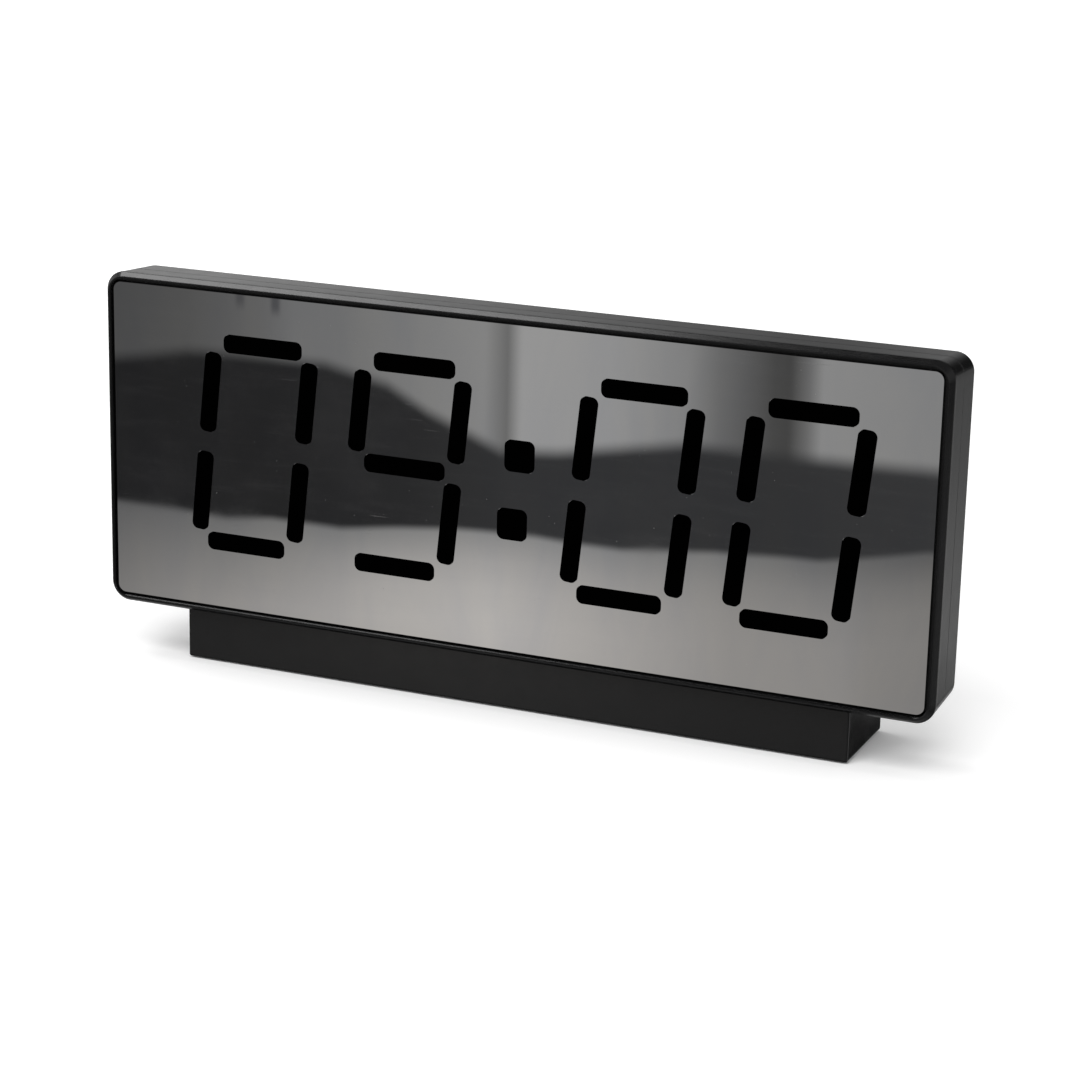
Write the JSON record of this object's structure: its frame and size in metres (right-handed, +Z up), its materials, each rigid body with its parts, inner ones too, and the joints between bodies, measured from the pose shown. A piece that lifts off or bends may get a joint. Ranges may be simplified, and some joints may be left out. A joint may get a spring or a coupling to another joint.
{
  "type": "alarm clock",
  "caption": "Free-standing digital table alarm clock with a flat mirror front, slanted segment display, slim housing on a low block base, and keys, switch, socket and cell cap behind.",
  "frame": {"origin": "on the table, under the middle of the clock's bounding box", "axes": "+X to the right as seen from the front, +Y away from the mirror, towards the back, +Z up"},
  "size_m": [0.18, 0.025, 0.0817],
  "materials": {
    "housing_black": "fine satin moulded texture",
    "mirror": "polished half-mirror",
    "tape": "matt adhesive tape",
    "diffuser": "matt film",
    "digit_black": "smooth",
    "guide_white": "matt moulded",
    "board": "solder mask",
    "led": "smooth",
    "chip": "matt",
    "can": "satin",
    "capacitor": "satin sleeve",
    "resistor": "matt",
    "buzzer": "matt",
    "socket_steel": "satin",
    "socket_core": "matt",
    "switch_black": "matt",
    "plunger": "matt",
    "button": "fine satin",
    "switch_steel": "satin",
    "cell_steel": "satin",
    "contact": "satin",
    "screw": "satin",
    "foot_rubber": "matt"
  },
  "bodies": {
    "clock": {"front_frame": "housing_black", "mirror_panel": "mirror", "mirror_tape": "tape", "diffuser_film": "diffuser", "digit_hour_tens": "digit_black", "digit_hour_units": "digit_black", "colon_dots": "digit_black", "digit_minute_tens": "digit_black", "digit_minute_units": "digit_black", "light_guide": "guide_white", "circuit_board": "board", "segment_leds": "led", "driver_chip": "chip", "clock_chip": "chip", "crystal": "can", "capacitors": "capacitor", "chip_resistors": "resistor", "buzzer": "buzzer", "power_socket_shell": "socket_steel", "power_socket_core": "socket_core", "tact_switches": "switch_black", "slide_switch_case": "switch_steel", "coin_cell": "cell_steel", "cell_contact_minus": "contact", "cell_contact_plus": "contact", "rear_cover": "housing_black", "board_screws": "screw", "housing_screws": "screw", "base_shell": "housing_black", "base_plate": "housing_black", "rubber_feet": "foot_rubber", "base_screws": "screw", "plate_screws": "screw"},
    "set_key": {"button_set": "button", "plunger_set": "plunger"},
    "alarm_key": {"button_alarm": "button", "plunger_alarm": "plunger"},
    "up_key": {"button_up": "button", "plunger_up": "plunger"},
    "down_key": {"button_down": "button", "plunger_down": "plunger"},
    "slide_key": {"slide_switch_knob": "button"},
    "cap": {"cell_cap": "housing_black"}
  },
  "joints": [
    {"name": "set_press", "type": "slide", "parent": "clock", "child": "set_key", "axis": [0, -1, 0], "range_m": [0, 0.0004], "stiffness_N_per_m": 4000},
    {"name": "alarm_press", "type": "slide", "parent": "clock", "child": "alarm_key", "axis": [0, -1, 0], "range_m": [0, 0.0004], "stiffness_N_per_m": 4000},
    {"name": "up_press", "type": "slide", "parent": "clock", "child": "up_key", "axis": [0, -1, 0], "range_m": [0, 0.0004], "stiffness_N_per_m": 4000},
    {"name": "down_press", "type": "slide", "parent": "clock", "child": "down_key", "axis": [0, -1, 0], "range_m": [0, 0.0004], "stiffness_N_per_m": 4000},
    {"name": "alarm_switch_slide", "type": "slide", "parent": "clock", "child": "slide_key", "axis": [1, 0, 0], "range_m": [0, 0.002]},
    {"name": "cell_cap_turn", "type": "hinge", "parent": "clock", "child": "cap", "pos_m": [-0.052, 0.003, 0.0395], "axis": [0, 1, 0], "range_deg": [0, 65]}
  ]
}
